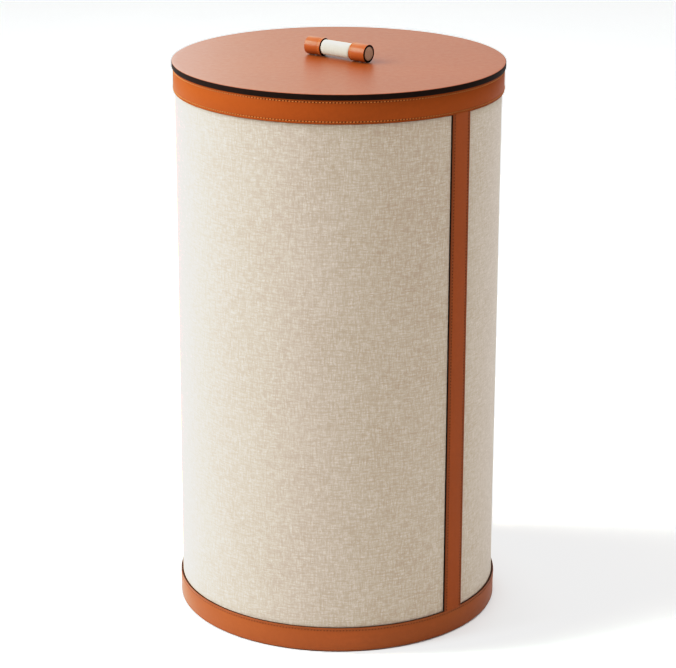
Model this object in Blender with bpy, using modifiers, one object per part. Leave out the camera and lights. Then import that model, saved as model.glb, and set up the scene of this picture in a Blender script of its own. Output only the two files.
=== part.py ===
"""Tall round storage bin: a linen-covered board tube with leather bands and a lift-off lid.

Metres, +Z up, standing on the origin. The lid's bar handle lies across the top, and the
leather strip that covers the linen's seam runs down the right of the front.
"""
import math

import bmesh
import bpy

# The body
SHELL_RADIUS = 0.1704          # outside of the board tube
SHELL_WALL = 0.0040
RIM_HEIGHT = 0.5945            # floor to the top of the leather rim
BASE_BOARD_THICKNESS = 0.0090
LINEN_THICKNESS = 0.0008
LINING_THICKNESS = 0.0008
FLOOR_LINING_THICKNESS = 0.0012
LINEN_SEAM_GAP = 0.0010        # between the linen's two meeting edges, under the strip

# The leather
LEATHER_THICKNESS = 0.0022
RIM_BAND_HEIGHT = 0.0250       # outer leg of the rim band
RIM_BAND_INNER_HEIGHT = 0.0200
FOOT_BAND_HEIGHT = 0.0265      # from the turned-under lip to the band's upper edge
FOOT_LIP_WIDTH = 0.0120
FOOT_CLEARANCE = 0.0010        # height at which the felt holds the leather off the floor
STRIP_WIDTH = 0.0258
STRIP_BEARING = 45.5           # degrees round from the front (-Y) towards +X
EDGE_ROUND = 0.0015            # rounding of the leather where it turns over an edge

# The lid
LID_OVERHANG = 0.0010          # past the rim band, all round
LID_LEATHER_THICKNESS = 0.0014
LID_BOARD_THICKNESS = 0.0024
LID_LINING_THICKNESS = 0.0008
LID_CLEARANCE = 0.0015         # between the rim's inner leg and the locating hoop
HOOP_HEIGHT = 0.0150
HOOP_WALL = 0.0040
HOOP_FACING_THICKNESS = 0.0010

# The handle
HANDLE_LENGTH = 0.0780
HANDLE_BEARING = -37.0         # degrees that the bar is turned about +Z
DOWEL_RADIUS = 0.0072
DOWEL_CHAMFER = 0.0004
SLEEVE_LENGTH = 0.0205
SLEEVE_THICKNESS = 0.0019
WRAP_THICKNESS = 0.0006

# The handle's fasteners, in steel
SCREW_RADIUS = 0.0020
SCREW_GRIP = 0.0100            # length of thread inside the dowel
SCREW_HEAD_RADIUS = 0.0040
SCREW_HEAD_HEIGHT = 0.0024
SCREW_SLOT_WIDTH = 0.0010
SCREW_SLOT_DEPTH = 0.0011
WASHER_RADIUS = 0.0065
WASHER_THICKNESS = 0.0010

# Fits and fineness
GAP = 0.0003                   # glue line between faces that touch
RING_STEPS = 72
BAR_STEPS = 32
FASTENER_STEPS = 20
STRIP_STEPS = 6
ROUND_STEPS = 3
MERGE = 0.00005
SHARP_ANGLE = math.radians(35)

# Radii, from the tube outwards
LINEN_INNER = SHELL_RADIUS + GAP
LINEN_OUTER = LINEN_INNER + LINEN_THICKNESS
BAND_INNER = LINEN_OUTER + GAP
BAND_OUTER = BAND_INNER + LEATHER_THICKNESS
LID_RADIUS = BAND_OUTER + LID_OVERHANG

# Radii, from the tube inwards
SHELL_INNER = SHELL_RADIUS - SHELL_WALL
LINING_OUTER = SHELL_INNER - GAP
LINING_INNER = LINING_OUTER - LINING_THICKNESS
RIM_LEG_OUTER = LINING_INNER - GAP
RIM_LEG_INNER = RIM_LEG_OUTER - LEATHER_THICKNESS
FACING_OUTER = RIM_LEG_INNER - LID_CLEARANCE
FACING_INNER = FACING_OUTER - HOOP_FACING_THICKNESS
HOOP_OUTER = FACING_INNER - GAP
HOOP_INNER = HOOP_OUTER - HOOP_WALL
FOOT_LIP_INNER = BAND_OUTER - FOOT_LIP_WIDTH

# Heights, from the floor up
LIP_TOP = FOOT_CLEARANCE + LEATHER_THICKNESS
BODY_BOTTOM = LIP_TOP + GAP
BASE_TOP = BODY_BOTTOM + BASE_BOARD_THICKNESS
LINING_BOTTOM = BASE_TOP + GAP
FOOT_BAND_TOP = FOOT_CLEARANCE + FOOT_BAND_HEIGHT
RIM_BAND_BOTTOM = RIM_HEIGHT - RIM_BAND_HEIGHT
SHELL_TOP = RIM_HEIGHT - LEATHER_THICKNESS - GAP

# Heights in the lid, counted from its underside
LID_SEAT = RIM_HEIGHT + GAP
LID_BOARD_BOTTOM = LID_LINING_THICKNESS + GAP
LID_LEATHER_BOTTOM = LID_BOARD_BOTTOM + LID_BOARD_THICKNESS + GAP
LID_THICKNESS = LID_LEATHER_BOTTOM + LID_LEATHER_THICKNESS
SLEEVE_INNER = DOWEL_RADIUS + GAP
SLEEVE_OUTER = SLEEVE_INNER + SLEEVE_THICKNESS
HANDLE_HEIGHT = LID_THICKNESS + GAP + SLEEVE_OUTER
WRAP_LENGTH = HANDLE_LENGTH - 2 * SLEEVE_LENGTH - 2 * GAP
SLEEVE_OFFSET = (HANDLE_LENGTH - SLEEVE_LENGTH) / 2
SCREW_HOLE_RADIUS = SCREW_RADIUS + GAP
SCREW_TIP = HANDLE_HEIGHT - DOWEL_RADIUS + SCREW_GRIP
HOOP_TOP = -GAP
WASHER_TOP = -GAP
HEAD_TOP = WASHER_TOP - WASHER_THICKNESS - GAP

SIDES = {"left": -1, "right": 1}


def clear_scene():
    """Remove whatever the scene holds."""
    for item in list(bpy.data.objects):
        bpy.data.objects.remove(item, do_unlink=True)


def new_collection(name):
    """Add a collection to the scene."""
    group = bpy.data.collections.new(name)
    bpy.context.scene.collection.children.link(group)
    return group


def make_material(name, colour, roughness, metallic=0.0):
    """Principled material for one sub-part."""
    material = bpy.data.materials.new(name)
    material.use_nodes = True
    shader = material.node_tree.nodes["Principled BSDF"]
    shader.inputs["Base Color"].default_value = (*colour, 1.0)
    shader.inputs["Roughness"].default_value = roughness
    shader.inputs["Metallic"].default_value = metallic
    return material


def add_object(name, mesh, group, parent=None):
    """Put a mesh in a collection, under a parent."""
    item = bpy.data.objects.new(name, mesh)
    group.objects.link(item)
    item.parent = parent
    return item


def add_empty(name, group, height, parent=None):
    """An empty on the bin's axis."""
    empty = bpy.data.objects.new(name, None)
    empty.empty_display_size = 0.03
    empty.location = (0.0, 0.0, height)
    empty.parent = parent
    group.objects.link(empty)
    return empty


def paint(item, look):
    """Give an object its own material."""
    item.data.materials.append(make_material(item.name, *look))


def arc(centre_r, centre_z, radius, start, end):
    """Points of a rounded corner, from one angle to another in degrees."""
    turns = [start + (end - start) * step / ROUND_STEPS for step in range(ROUND_STEPS + 1)]
    return [(centre_r + radius * math.cos(math.radians(turn)),
             centre_z + radius * math.sin(math.radians(turn))) for turn in turns]


def rectangle(inner, outer, bottom, top):
    """Section of a plain ring, from its outer top corner down."""
    return [(outer, top), (outer, bottom), (inner, bottom), (inner, top)]


def turned(name, section, group, look, steps=RING_STEPS, solid=False, parent=None):
    """Turn a section about Z. A solid section starts and ends on the axis, a ring's closes."""
    mesh = bpy.data.meshes.new(name)
    shape = bmesh.new()
    points = [shape.verts.new((radius, 0.0, height)) for radius, height in section]
    for first, second in zip(points, points[1:]):
        shape.edges.new((first, second))
    if not solid:
        shape.edges.new((points[-1], points[0]))
    shape.to_mesh(mesh)
    shape.free()
    item = add_object(name, mesh, group, parent)
    turn = item.modifiers.new("Turn", "SCREW")
    turn.axis = "Z"
    turn.angle = math.tau
    turn.steps = steps
    turn.render_steps = steps
    turn.use_merge_vertices = True
    turn.merge_threshold = MERGE
    turn.use_smooth_shade = True
    paint(item, look)
    return item


def disc(name, radius, bottom, top, group, look, parent=None):
    """Flat round plate."""
    section = [(0.0, top), (radius, top), (radius, bottom), (0.0, bottom)]
    return turned(name, section, group, look, solid=True, parent=parent)


def wrapped_sheet(name, radius, span, bottom, top, steps, group, thickness, look):
    """Sheet wrapped round the bin over part of a turn, thickened outwards, centred on +X."""
    mesh = bpy.data.meshes.new(name)
    shape = bmesh.new()
    bmesh.ops.create_grid(shape, x_segments=steps, y_segments=1, size=0.5)
    for point in shape.verts:
        turn = point.co.x * span
        height = bottom + (point.co.y + 0.5) * (top - bottom)
        point.co = (radius * math.cos(turn), radius * math.sin(turn), height)
    shape.to_mesh(mesh)
    shape.free()
    item = add_object(name, mesh, group)
    wall = item.modifiers.new("Thickness", "SOLIDIFY")
    wall.thickness = thickness
    wall.offset = 1.0
    wall.use_even_offset = True
    mesh.shade_smooth()
    mesh.set_sharp_from_angle(angle=SHARP_ANGLE)
    paint(item, look)
    return item


def cylinder_mesh(name, radius, bottom, top, steps):
    """Closed upright cylinder."""
    mesh = bpy.data.meshes.new(name)
    shape = bmesh.new()
    bmesh.ops.create_cone(shape, cap_ends=True, segments=steps, radius1=radius,
                          radius2=radius, depth=top - bottom)
    bmesh.ops.translate(shape, verts=shape.verts, vec=(0.0, 0.0, (top + bottom) / 2))
    shape.to_mesh(mesh)
    shape.free()
    return mesh


def cut(item, cutter, label):
    """Take a cutter's shape out of an object."""
    cutter.display_type = "WIRE"
    cutter.hide_render = True
    boolean = item.modifiers.new(label, "BOOLEAN")
    boolean.operation = "DIFFERENCE"
    boolean.solver = "EXACT"
    boolean.object = cutter


def build_base(parts):
    """Felt pad, base board and the leather band round the foot."""
    disc("base_felt", FOOT_LIP_INNER - GAP, 0.0, LIP_TOP, parts, ((0.10, 0.08, 0.07), 0.95))
    disc("base_board", LINING_OUTER, BODY_BOTTOM, BASE_TOP, parts, ((0.45, 0.33, 0.22), 0.80))
    corner = (BAND_OUTER - EDGE_ROUND, FOOT_CLEARANCE + EDGE_ROUND)
    section = [(BAND_OUTER, FOOT_BAND_TOP)]
    section += arc(*corner, EDGE_ROUND, 0, -90)
    section += [(FOOT_LIP_INNER, FOOT_CLEARANCE), (FOOT_LIP_INNER, LIP_TOP),
                (BAND_INNER, LIP_TOP), (BAND_INNER, FOOT_BAND_TOP)]
    turned("foot_band", section, parts, ((0.52, 0.17, 0.06), 0.50))


def build_shell(parts):
    """Board tube with its linen outside and its lining inside."""
    turned("shell_tube", rectangle(SHELL_INNER, SHELL_RADIUS, BODY_BOTTOM, SHELL_TOP), parts,
           ((0.42, 0.33, 0.24), 0.85))
    span = math.tau - LINEN_SEAM_GAP / LINEN_INNER
    linen = wrapped_sheet("linen_cover", LINEN_INNER, span, BODY_BOTTOM, SHELL_TOP, RING_STEPS,
                          parts, LINEN_THICKNESS, ((0.58, 0.49, 0.38), 0.90))
    linen.rotation_euler.z = math.radians(STRIP_BEARING - 90.0) + math.pi
    turned("lining_wall", rectangle(LINING_INNER, LINING_OUTER, LINING_BOTTOM, SHELL_TOP),
           parts, ((0.62, 0.54, 0.43), 0.90))
    disc("lining_floor", LINING_INNER - GAP, LINING_BOTTOM,
         LINING_BOTTOM + FLOOR_LINING_THICKNESS, parts, ((0.60, 0.52, 0.41), 0.90))


def build_trim(parts):
    """Leather strip over the linen's seam, and the leather band folded over the rim."""
    strip = wrapped_sheet("seam_strip", BAND_INNER, STRIP_WIDTH / BAND_INNER,
                          FOOT_BAND_TOP + GAP, RIM_BAND_BOTTOM - GAP, STRIP_STEPS, parts,
                          LEATHER_THICKNESS, ((0.52, 0.17, 0.06), 0.50))
    strip.rotation_euler.z = math.radians(STRIP_BEARING - 90.0)
    section = arc(RIM_LEG_INNER + EDGE_ROUND, RIM_HEIGHT - EDGE_ROUND, EDGE_ROUND, 180, 90)
    section += arc(BAND_OUTER - EDGE_ROUND, RIM_HEIGHT - EDGE_ROUND, EDGE_ROUND, 90, 0)
    section += [(BAND_OUTER, RIM_BAND_BOTTOM), (BAND_INNER, RIM_BAND_BOTTOM),
                (BAND_INNER, RIM_HEIGHT - LEATHER_THICKNESS),
                (RIM_LEG_OUTER, RIM_HEIGHT - LEATHER_THICKNESS),
                (RIM_LEG_OUTER, RIM_HEIGHT - RIM_BAND_INNER_HEIGHT),
                (RIM_LEG_INNER, RIM_HEIGHT - RIM_BAND_INNER_HEIGHT)]
    turned("rim_band", section, parts, ((0.52, 0.17, 0.06), 0.50))


def build_lid_plate(parts, lid):
    """The lid's three layers, each with the two screw holes still to cut."""
    lining = disc("lid_lining", LID_RADIUS, 0.0, LID_LINING_THICKNESS, parts,
                  ((0.62, 0.54, 0.43), 0.90), lid)
    board = disc("lid_board", LID_RADIUS, LID_BOARD_BOTTOM,
                 LID_BOARD_BOTTOM + LID_BOARD_THICKNESS, parts, ((0.42, 0.33, 0.24), 0.85), lid)
    shoulder = min(EDGE_ROUND, LID_LEATHER_THICKNESS)
    section = [(0.0, LID_THICKNESS)]
    section += arc(LID_RADIUS - shoulder, LID_THICKNESS - shoulder, shoulder, 90, 0)
    section += [(LID_RADIUS, LID_LEATHER_BOTTOM), (0.0, LID_LEATHER_BOTTOM)]
    leather = turned("lid_leather", section, parts, ((0.58, 0.24, 0.12), 0.42), solid=True,
                     parent=lid)
    return [lining, board, leather]


def build_hoop(parts, lid):
    """Hoop under the lid that centres it in the rim, with its leather facing."""
    bottom = HOOP_TOP - HOOP_HEIGHT
    turned("lid_hoop", rectangle(HOOP_INNER, HOOP_OUTER, bottom, HOOP_TOP), parts,
           ((0.45, 0.33, 0.22), 0.80), parent=lid)
    lip = bottom - GAP - HOOP_FACING_THICKNESS
    section = [(FACING_OUTER, HOOP_TOP), (FACING_OUTER, lip), (HOOP_INNER, lip),
               (HOOP_INNER, bottom - GAP), (FACING_INNER, bottom - GAP),
               (FACING_INNER, HOOP_TOP)]
    turned("lid_hoop_facing", section, parts, ((0.50, 0.18, 0.07), 0.55), parent=lid)


def build_bar(parts, handle):
    """Wooden dowel, linen wrap and two leather sleeves, all along the handle's X axis."""
    half = HANDLE_LENGTH / 2
    edge = DOWEL_RADIUS - DOWEL_CHAMFER
    section = [(0.0, half), (edge, half), (DOWEL_RADIUS, half - DOWEL_CHAMFER),
               (DOWEL_RADIUS, DOWEL_CHAMFER - half), (edge, -half), (0.0, -half)]
    dowel = turned("handle_dowel", section, parts, ((0.30, 0.19, 0.12), 0.60), BAR_STEPS,
                   solid=True, parent=handle)
    wrap = turned("handle_wrap", rectangle(SLEEVE_INNER, SLEEVE_INNER + WRAP_THICKNESS,
                                           -WRAP_LENGTH / 2, WRAP_LENGTH / 2),
                  parts, ((0.80, 0.74, 0.63), 0.90), BAR_STEPS, parent=handle)
    sleeves = []
    for side, sign in SIDES.items():
        sleeve = turned("handle_sleeve_" + side,
                        rectangle(SLEEVE_INNER, SLEEVE_OUTER, -SLEEVE_LENGTH / 2,
                                  SLEEVE_LENGTH / 2),
                        parts, ((0.60, 0.22, 0.08), 0.45), BAR_STEPS, parent=handle)
        sleeve.location.x = sign * SLEEVE_OFFSET
        sleeves.append(sleeve)
    for item in (dowel, wrap, *sleeves):
        item.rotation_euler.y = math.pi / 2
    return dowel, sleeves


def build_fasteners(parts, cutters, screw_line):
    """Two slotted screws and their washers, upright under the bar."""
    steel = ((0.55, 0.54, 0.52), 0.35, 1.0)
    head_bottom = HEAD_TOP - SCREW_HEAD_HEIGHT
    crown = SCREW_HEAD_HEIGHT * 0.4
    for side, sign in SIDES.items():
        washer = turned("handle_washer_" + side,
                        rectangle(SCREW_HOLE_RADIUS, WASHER_RADIUS,
                                  WASHER_TOP - WASHER_THICKNESS, WASHER_TOP),
                        parts, steel, FASTENER_STEPS, parent=screw_line)
        section = [(0.0, SCREW_TIP), (SCREW_RADIUS * 0.5, SCREW_TIP),
                   (SCREW_RADIUS, SCREW_TIP - SCREW_RADIUS), (SCREW_RADIUS, HEAD_TOP),
                   (SCREW_HEAD_RADIUS, HEAD_TOP), (SCREW_HEAD_RADIUS, head_bottom + crown),
                   (SCREW_HEAD_RADIUS * 0.7, head_bottom), (0.0, head_bottom)]
        screw = turned("handle_screw_" + side, section, parts, steel, FASTENER_STEPS,
                       solid=True, parent=screw_line)
        slot_mesh = bpy.data.meshes.new("slot_cutter_" + side)
        shape = bmesh.new()
        bmesh.ops.create_cube(shape, size=1.0)
        bmesh.ops.scale(shape, vec=(SCREW_HEAD_RADIUS * 3, SCREW_SLOT_WIDTH,
                                    SCREW_SLOT_DEPTH * 2), verts=shape.verts)
        shape.to_mesh(slot_mesh)
        shape.free()
        slot = add_object(slot_mesh.name, slot_mesh, cutters, screw_line)
        slot.location = (sign * SLEEVE_OFFSET, 0.0, head_bottom)
        cut(screw, slot, "Slot")
        washer.location.x = sign * SLEEVE_OFFSET
        screw.location.x = sign * SLEEVE_OFFSET


def cut_screw_holes(cutters, screw_line, plates, dowel, sleeves):
    """Clear holes up through the lid and each sleeve's wall, ending blind in the dowel."""
    for (side, sign), sleeve in zip(SIDES.items(), sleeves):
        mesh = cylinder_mesh("hole_cutter_" + side, SCREW_HOLE_RADIUS, HEAD_TOP,
                             SCREW_TIP + GAP, FASTENER_STEPS)
        hole = add_object(mesh.name, mesh, cutters, screw_line)
        hole.location.x = sign * SLEEVE_OFFSET
        for item in (*plates, dowel, sleeve):
            cut(item, hole, "Screw hole " + side)


def build_lid(parts, cutters):
    """Everything that lifts off together, under an empty on the lift's axis."""
    lid = add_empty("lid_lift_axis", parts, LID_SEAT)
    plates = build_lid_plate(parts, lid)
    build_hoop(parts, lid)
    screw_line = add_empty("handle_screw_line", parts, 0.0, lid)
    screw_line.rotation_euler.z = math.radians(HANDLE_BEARING)
    handle = add_empty("handle_axis", parts, HANDLE_HEIGHT, screw_line)
    dowel, sleeves = build_bar(parts, handle)
    build_fasteners(parts, cutters, screw_line)
    cut_screw_holes(cutters, screw_line, plates, dowel, sleeves)


def main():
    """Build the bin."""
    clear_scene()
    parts = new_collection("linen_storage_bin")
    cutters = new_collection("cutters")
    build_base(parts)
    build_shell(parts)
    build_trim(parts)
    build_lid(parts, cutters)
    bpy.context.view_layer.update()


main()
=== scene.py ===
import math

import bmesh
import bpy
from mathutils import Matrix, Vector


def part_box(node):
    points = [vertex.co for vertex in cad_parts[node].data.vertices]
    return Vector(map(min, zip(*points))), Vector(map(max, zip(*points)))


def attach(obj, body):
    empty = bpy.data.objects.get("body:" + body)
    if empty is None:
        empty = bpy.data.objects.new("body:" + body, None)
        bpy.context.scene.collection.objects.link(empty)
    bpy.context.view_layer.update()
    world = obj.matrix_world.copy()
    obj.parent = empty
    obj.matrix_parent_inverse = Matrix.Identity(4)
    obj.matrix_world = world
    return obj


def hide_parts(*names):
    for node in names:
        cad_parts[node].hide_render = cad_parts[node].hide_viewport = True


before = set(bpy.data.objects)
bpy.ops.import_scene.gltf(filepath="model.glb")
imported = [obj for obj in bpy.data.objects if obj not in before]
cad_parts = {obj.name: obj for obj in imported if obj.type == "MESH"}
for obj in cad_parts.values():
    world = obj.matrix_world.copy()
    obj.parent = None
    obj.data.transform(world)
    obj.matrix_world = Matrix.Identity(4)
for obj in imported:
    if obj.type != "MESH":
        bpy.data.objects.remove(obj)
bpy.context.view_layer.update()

bl_info = {
    "name": "Linen and Leather Storage Bin",
    "version": (1, 0, 0),
    "blender": (4, 5, 0),
    "location": "3D View > Sidebar > Storage Bin",
    "description": "Makes a round linen bin with leather bands and a lift-off lid",
    "category": "Add Mesh",
}

TURN = 2.0 * math.pi
# Sides of a large round, sides of the handle's rounds, and rows of faces up a sheet of cloth.
RING_STEPS = 192
BAR_STEPS = 64
CLOTH_ROWS = 40
# How near a point has to be to a face to count as lying on it, and the glue between leather and linen.
HAIR = 0.00001
GLUE_GAP = 0.0001
# Rounding of the cut edges that are out of sight, and of the ones that only just show.
FINE_ROUND = 0.0002
SOFT_ROUND = 0.0003
# The slant of a sewn stitch, and the bare leather at each end of the strip's rows.
STITCH_SLANT = math.radians(7.0)
ROW_START = 0.001
WINDINGS_PER_METRE = 9.0
FLOOR_EDGE = 1.0
FLOOR_DROP = 0.2
WHITE_LEVEL = 1.42
TONE_POINTS = ((0.05, 0.040), (0.20, 0.185), (0.45, 0.468), (0.85, 0.776), (1.10, 0.848), (1.32, 0.884))


def node_low(name):
    """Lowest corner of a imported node."""
    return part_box(name)[0]


def node_high(name):
    """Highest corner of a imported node."""
    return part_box(name)[1]


# ---------------------------------------------------------------- sizes and colours


def a_length(name, description, default):
    """A length that a user may change, in metres."""
    return bpy.props.FloatProperty(
        name=name, description=description, default=default, min=0.0, precision=5, unit="LENGTH")


def an_angle(name, description, degrees):
    """An angle that a user may change."""
    return bpy.props.FloatProperty(
        name=name, description=description, default=math.radians(degrees), subtype="ANGLE")


def a_colour(name, description, default):
    """A colour that a user may change, in linear light."""
    return bpy.props.FloatVectorProperty(
        name=name, description=description, default=default, size=3, min=0.0, max=1.0, subtype="COLOR")


def an_amount(name, description, default, top=1.0):
    """A plain amount that a user may change."""
    return bpy.props.FloatProperty(name=name, description=description, default=default, min=0.0, max=top)


class BinSizes(bpy.types.PropertyGroup):
    """Sizes of the bin's cloth, leather, stitching and handle."""

    linen_radius: a_length("Linen radius", "Outer face of the linen cover", node_high("linen_cover").x)
    linen_thickness: a_length("Linen thickness", "Thickness of the cover and of the lining", 0.0008)
    linen_slack: a_length("Linen slack", "How far the bonded cloth wanders off a true round", 0.00022)
    band_radius: a_length("Band radius", "Outer face of the leather bands", node_high("rim_band").x)
    band_leather: a_length("Band leather", "Thickness of the bands and the strip", 0.0022)
    rim_inner_radius: a_length("Rim inner radius", "Inner face of the leather folded over the rim", 0.1628)
    rim_inner_depth: a_length("Rim inner depth", "Height of the leather inside the rim", 0.0200)
    foot_lip_radius: a_length("Foot lip radius", "Inner edge of the leather turned under the base", 0.1620)
    strip_width: a_length("Strip width", "Width of the strip over the seam", 0.0258)
    strip_bearing: an_angle("Strip bearing", "Where the strip stands, from the front to the right", 45.5)
    strip_overlap: a_length("Strip overlap", "How far the strip laps over the foot band", 0.0012)
    strip_tuck: a_length("Strip tuck", "How far the strip's top goes up under the rim band's edge", 0.0009)
    edge_round: a_length("Edge rounding", "Rounding of the leather's cut edges", 0.0006)
    shoulder_round: a_length("Shoulder rounding", "Rounding where a band turns over", 0.0013)
    stitch_pitch: a_length("Stitch pitch", "Distance from one stitch to the next", 0.0034)
    stitch_length: a_length("Stitch length", "Length of one stitch", 0.0021)
    stitch_inset: a_length("Stitch inset", "Distance of a stitch row from the leather's edge", 0.0028)
    thread_radius: a_length("Thread radius", "Half the thickness of the thread", 0.00036)
    groove_depth: a_length("Groove depth", "Depth of the groove that a stitch row lies in", 0.00022)
    groove_width: a_length("Groove width", "Width of the groove that a stitch row lies in", 0.0013)
    lid_shoulder: a_length("Lid shoulder", "Rounding of the lid leather's top edge", 0.0009)
    handle_bearing: an_angle("Handle bearing", "Turn of the handle about the lid's centre", -37.0)
    handle_length: a_length("Handle length", "Length of the handle bar", 0.0780)
    dowel_radius: a_length("Dowel radius", "Half the thickness of the wooden bar", 0.0072)
    sleeve_length: a_length("Sleeve length", "Length of each leather sleeve", 0.0205)
    sleeve_radius: a_length("Sleeve radius", "Outer face of the sleeves", 0.0094)
    wrap_thickness: a_length("Wrap thickness", "Thickness of the linen round the bar", 0.0005)
    yarn_pitch: a_length("Yarn pitch", "Distance from yarn to yarn in the linen", 0.00060)


class BinColours(bpy.types.PropertyGroup):
    """Colours of the bin's cloth, leather, thread, wood and board."""

    leather: a_colour("Band leather", "Tan of the bands, strip and sleeves", (0.234, 0.051, 0.0082))
    foot_leather: a_colour("Foot leather", "Tan of the foot band", (0.246, 0.063, 0.0140))
    lid_leather: a_colour("Lid leather", "Tan of the lid", (0.206, 0.0475, 0.0078))
    edge_paint: a_colour("Edge paint", "Dark paint on the leather's cut edges", (0.0090, 0.0042, 0.0028))
    thread: a_colour("Thread", "Waxed thread of the stitching", (0.500, 0.190, 0.055))
    strip_thread: a_colour("Strip thread", "Darker thread along the strip and foot", (0.240, 0.068, 0.016))
    burnished: a_colour("Burnished edge", "Rubbed brown edge of the foot band", (0.050, 0.021, 0.012))
    linen_light: a_colour("Linen, light yarn", "Pale yarns of the cover", (0.680, 0.598, 0.503))
    linen_dark: a_colour("Linen, dark yarn", "Darker flax in the cover", (0.395, 0.300, 0.224))
    lining_light: a_colour("Lining, light yarn", "Pale yarns of the lining", (0.620, 0.560, 0.460))
    lining_dark: a_colour("Lining, dark yarn", "Darker yarns of the lining", (0.470, 0.400, 0.310))
    wrap: a_colour("Handle wrap", "Cream linen round the handle", (0.730, 0.665, 0.550))
    wood: a_colour("Dowel wood", "Wood of the handle bar", (0.570, 0.405, 0.285))
    board: a_colour("Board", "Grey-brown board of the base and lid", (0.270, 0.200, 0.130))
    tube: a_colour("Tube", "Wound paper of the tube", (0.360, 0.270, 0.180))
    felt: a_colour("Felt", "Felt pad under the base", (0.130, 0.105, 0.085))
    steel: a_colour("Steel", "Screws and washers", (0.560, 0.550, 0.530))


class StudioSettings(bpy.types.PropertyGroup):
    """Camera, floor and light."""

    camera_distance: a_length("Camera distance", "How far in front of the bin the camera stands", 2.547)
    camera_height: a_length("Camera height", "Height of the camera over the floor", 1.127)
    camera_tilt: an_angle("Camera tilt", "How far the camera looks down", 18.06)
    camera_roll: an_angle("Camera roll", "Small turn of the camera about its own axis", 0.18)
    camera_lens: an_amount("Camera lens", "Focal length in millimetres", 131.5, 500.0)
    floor_size: a_length("Floor size", "Side of the floor", 24.0)
    floor_colour: a_colour("Floor colour", "Pale floor", (0.96, 0.96, 0.96))
    overhead: an_amount("Overhead light", "Strength of the light from above", 2.2, 20.0)
    back_light: an_amount("Light from behind", "Strength of the bright wall behind", 1.1, 20.0)
    left_light: an_amount("Light from the left", "Strength of the pale wall on the left", 0.22, 20.0)
    room_light: an_amount("Room light", "Light from all round", 0.13, 20.0)
    key_power: an_amount("Key light", "Power of the soft light on the left, in watts", 74.0, 1000.0)
    key_colour: a_colour("Key colour", "Slightly cool colour of the light on the left", (0.885, 0.975, 0.985))
    back_power: an_amount("Back light", "Power of the soft light behind on the left, in watts", 4.5, 1000.0)


# ---------------------------------------------------------------- modelling by hand


def put_tools_down():
    """Leave edit mode and deselect everything, so that an operator acts only on the next piece."""
    if bpy.context.mode != "OBJECT":
        bpy.ops.object.mode_set(mode="OBJECT")
    bpy.ops.object.select_all(action="DESELECT")


def settle(piece):
    """Put a piece's place, turn and size into its mesh."""
    put_tools_down()
    bpy.context.view_layer.objects.active = piece
    piece.select_set(True)
    bpy.ops.object.transform_apply(location=True, rotation=True, scale=True)


def take_new_piece(name):
    """Name the piece just added and settle it where it stands."""
    piece = bpy.context.object
    piece.name = name
    piece.data.name = name
    settle(piece)
    return piece


def start_editing(piece, kind="FACE", selected=False):
    """Go into edit mode on one piece, with all of it or nothing of it selected."""
    put_tools_down()
    bpy.context.view_layer.objects.active = piece
    piece.select_set(True)
    bpy.ops.object.mode_set(mode="EDIT")
    bpy.ops.mesh.select_mode(type=kind)
    bpy.ops.mesh.select_all(action="SELECT" if selected else "DESELECT")


def pick(parts, test):
    """Select the faces, edges or verts of the piece in edit mode that pass a test."""
    mesh = bpy.context.edit_object.data
    cage = bmesh.from_edit_mesh(mesh)
    bpy.ops.mesh.select_all(action="DESELECT")
    for part in getattr(cage, parts):
        if test(part):
            part.select_set(True)
    cage.select_flush_mode()
    bmesh.update_edit_mesh(mesh)


def is_level(edge):
    """Whether an edge lies flat."""
    return abs(edge.verts[0].co.z - edge.verts[1].co.z) < GLUE_GAP


def point_faces_out():
    """Merge doubled points and point all faces out, in edit mode."""
    bpy.ops.mesh.select_all(action="SELECT")
    bpy.ops.mesh.remove_doubles(threshold=0.000002)
    bpy.ops.mesh.normals_make_consistent(inside=False)


def finish_editing(smooth_angle=40.0):
    """Leave edit mode and shade the piece smooth up to an angle."""
    bpy.ops.object.mode_set(mode="OBJECT")
    bpy.ops.object.shade_smooth_by_angle(angle=math.radians(smooth_angle))


def apply_modifiers(piece):
    """Apply a piece's modifiers in order."""
    put_tools_down()
    bpy.context.view_layer.objects.active = piece
    piece.select_set(True)
    for modifier in list(piece.modifiers):
        bpy.ops.object.modifier_apply(modifier=modifier.name)


def rounded_section(corners, steps=4):
    """Section points through corners given as (radius, height, rounding)."""
    section = []
    count = len(corners)
    for index, (radius, height, rounding) in enumerate(corners):
        corner = Vector((radius, height))
        if rounding == 0.0:
            section.append(tuple(corner))
            continue
        before = Vector(corners[index - 1][:2]) - corner
        after = Vector(corners[(index + 1) % count][:2]) - corner
        start = corner + before.normalized() * rounding
        end = corner + after.normalized() * rounding
        for step in range(steps + 1):
            t = step / steps
            point = start * (1 - t) ** 2 + corner * 2 * t * (1 - t) + end * t ** 2
            section.append(tuple(point))
    return section


def groove_corners(radius, height, sizes, direction=1):
    """Corners of the groove that a stitch row lies in, going up (1) or down (-1) a wall."""
    half = direction * sizes.groove_width / 2
    depth = direction * sizes.groove_depth
    return [
        (radius - depth * deep, height + half * across, 0.0)
        for across, deep in ((-1.0, 0.0), (-0.5, 0.8), (0.0, 1.0), (0.5, 0.8), (1.0, 0.0))
    ]


def draw_ring(name, section, steps=RING_STEPS, closed=True):
    """Draw a circle out from point to point of a section into a turned piece."""
    put_tools_down()
    radius, height = section[0]
    bpy.ops.mesh.primitive_circle_add(vertices=steps, radius=radius, location=(0, 0, height))
    piece = take_new_piece(name)
    start_editing(piece, "EDGE", selected=True)
    rest = section[1:] + section[:1] if closed else section[1:]
    for next_radius, next_height in rest:
        rise = (0, 0, next_height - height)
        bpy.ops.mesh.extrude_region_move(TRANSFORM_OT_translate={"value": rise})
        growth = next_radius / radius
        bpy.ops.transform.resize(value=(growth, growth, 1), center_override=(0, 0, next_height))
        radius, height = next_radius, next_height
    point_faces_out()
    finish_editing()
    return piece


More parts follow.
